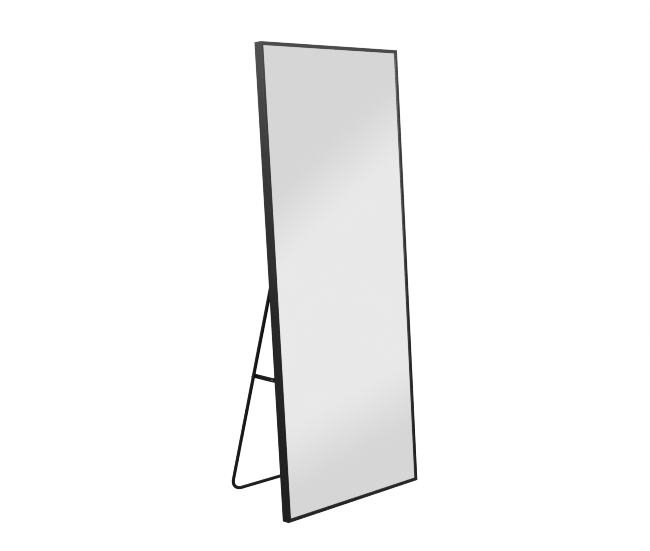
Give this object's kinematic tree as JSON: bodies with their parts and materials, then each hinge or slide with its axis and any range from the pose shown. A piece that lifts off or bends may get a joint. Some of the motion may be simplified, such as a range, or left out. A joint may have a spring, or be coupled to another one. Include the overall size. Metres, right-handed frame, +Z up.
{
  "type": "leaning floor mirror",
  "caption": "Tall rectangular mirror in a thin black metal frame, leaning back on a folding U-shaped tube stand with jointed stays.",
  "frame": {"origin": "on the floor, at the centre of the footprint of the open mirror", "axes": "+X to the viewer's right along the frame's width, +Y towards the back, +Z up"},
  "size_m": [0.6, 0.3642, 1.4994],
  "materials": {
    "frame": "matte black coating on an aluminium extrusion",
    "key": "plain die-cast",
    "screw": "black",
    "glass": "silvered float glass",
    "liner": "plain board",
    "panel": "hardboard",
    "spring": "spring steel",
    "pad": "matte",
    "bracket": "matte black coating on steel",
    "zinc": "bright zinc",
    "tube": "matte black coating on steel tube",
    "plug": "moulded",
    "bush": "nylon",
    "rivet": "black"
  },
  "bodies": {
    "mirror": {"left_stile": "frame", "right_stile": "frame", "top_rail": "frame", "bottom_rail": "frame", "bottom_left_corner_key": "key", "bottom_right_corner_key": "key", "top_right_corner_key": "key", "top_left_corner_key": "key", "corner_screws": "screw", "mirror_glass": "glass", "board_liner": "liner", "back_panel": "panel", "spring_clips": "spring", "left_foot_pad": "pad", "right_foot_pad": "pad", "left_hinge_bracket": "bracket", "right_hinge_bracket": "bracket", "left_stay_bracket": "bracket", "right_stay_bracket": "bracket", "bracket_screws": "screw", "nut_plates": "zinc", "left_hinge_bolt": "zinc", "right_hinge_bolt": "zinc", "hinge_nuts": "zinc", "left_stay_pin": "zinc", "right_stay_pin": "zinc"},
    "stand": {"stand_tube": "tube", "left_leg_plug": "plug", "right_leg_plug": "plug", "left_hinge_bush": "bush", "right_hinge_bush": "bush", "left_leg_rivet": "rivet", "right_leg_rivet": "rivet", "stay_spacers": "bush"},
    "left_outer_link": {"left_outer_link": "bracket", "left_elbow_rivet": "zinc"},
    "left_inner_link": {"left_inner_link": "bracket", "left_elbow_stud": "zinc"},
    "right_outer_link": {"right_outer_link": "bracket", "right_elbow_rivet": "zinc"},
    "right_inner_link": {"right_inner_link": "bracket", "right_elbow_stud": "zinc"}
  },
  "joints": [
    {"name": "stand_fold", "type": "hinge", "parent": "mirror", "child": "stand", "pos_m": [0, -0.07323, 0.83398], "axis": [-1, 0, 0], "range_deg": [0, 21.36]},
    {"name": "left_outer_link_turn", "type": "hinge", "parent": "stand", "child": "left_outer_link", "pos_m": [-0.252, 0.04863, 0.42933], "axis": [-1, 0, 0], "range_deg": [0, 72.26]},
    {"name": "left_inner_link_turn", "type": "hinge", "parent": "mirror", "child": "left_inner_link", "pos_m": [-0.252, -0.10557, 0.43198], "axis": [-1, 0, 0], "range_deg": [-86.38, 0]},
    {"name": "right_outer_link_turn", "type": "hinge", "parent": "stand", "child": "right_outer_link", "pos_m": [0.252, 0.04863, 0.42933], "axis": [-1, 0, 0], "range_deg": [0, 72.26]},
    {"name": "right_inner_link_turn", "type": "hinge", "parent": "mirror", "child": "right_inner_link", "pos_m": [0.252, -0.10557, 0.43198], "axis": [-1, 0, 0], "range_deg": [-86.38, 0]}
  ],
  "couplings": [
    {"joint": "left_outer_link_turn", "follows": "stand_fold", "ratio": 3.3828},
    {"joint": "left_inner_link_turn", "follows": "stand_fold", "ratio": -4.0442},
    {"joint": "right_outer_link_turn", "follows": "stand_fold", "ratio": 3.3828},
    {"joint": "right_inner_link_turn", "follows": "stand_fold", "ratio": -4.0442}
  ]
}
